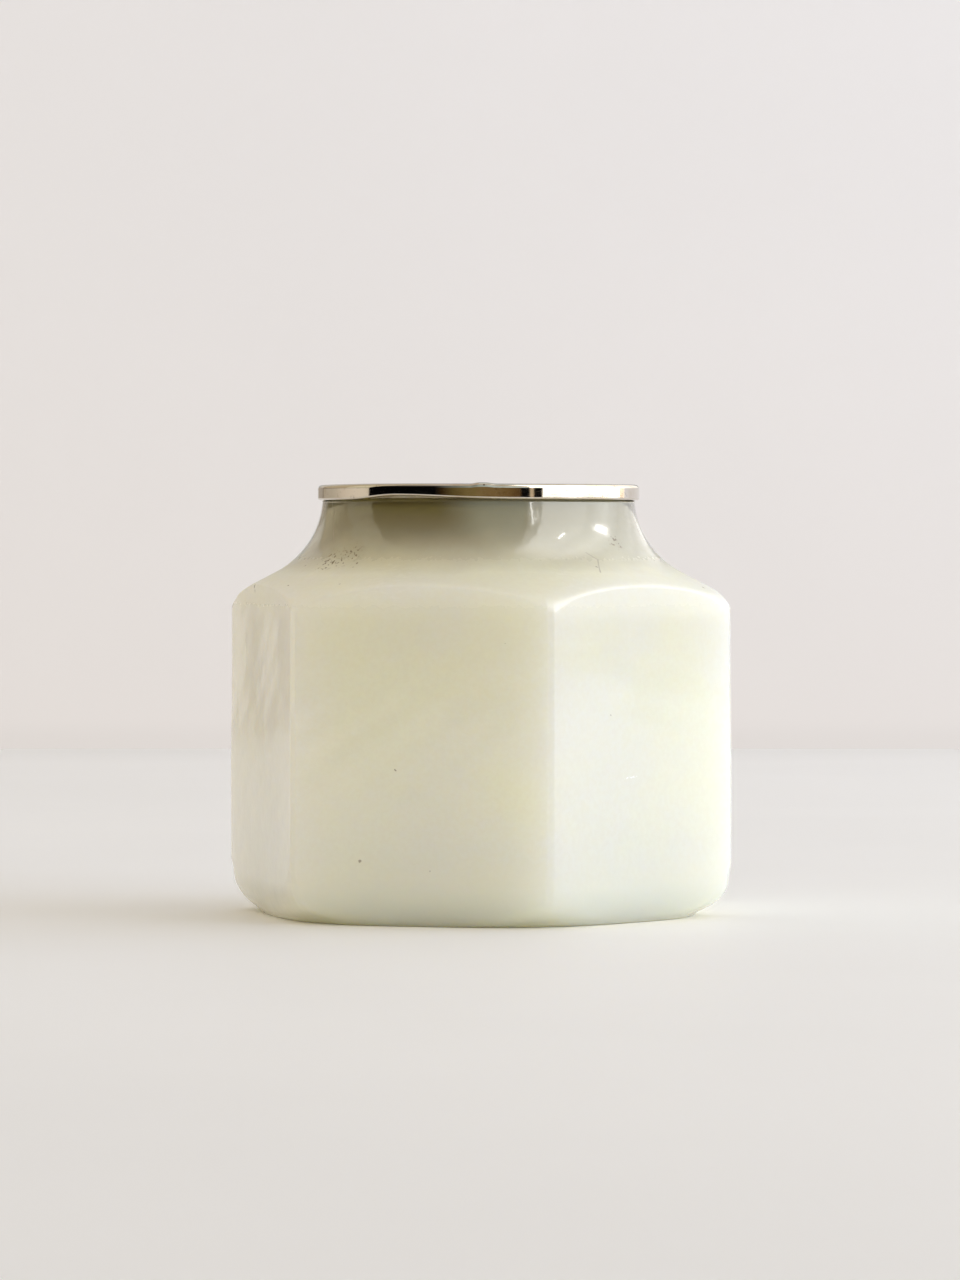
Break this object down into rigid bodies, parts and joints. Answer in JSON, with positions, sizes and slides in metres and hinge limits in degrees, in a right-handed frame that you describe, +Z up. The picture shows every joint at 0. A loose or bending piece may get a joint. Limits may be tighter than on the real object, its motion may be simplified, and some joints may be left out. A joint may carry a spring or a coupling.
{
  "type": "glass liquid dish",
  "caption": "Hexagonal opal glass pot with a round shoulder and neck, a deep round well, and a thin nickel-plated collar fixed on its open mouth.",
  "frame": {"origin": "centre of the flat base, on the surface that the pot stands on", "axes": "+Z up along the axis of the well; two opposite vertical edges of the body lie on the X axis, and two opposite faces look along +Y and -Y"},
  "size_m": [0.0598, 0.052, 0.0494],
  "materials": {
    "opal_glass": "glossy translucent opal",
    "nickel_plate": "polished nickel",
    "white_cement": "matte"
  },
  "bodies": {
    "root": {"glass_body": "opal_glass", "rim_collar": "nickel_plate", "collar_cement": "white_cement"}
  },
  "joints": []
}
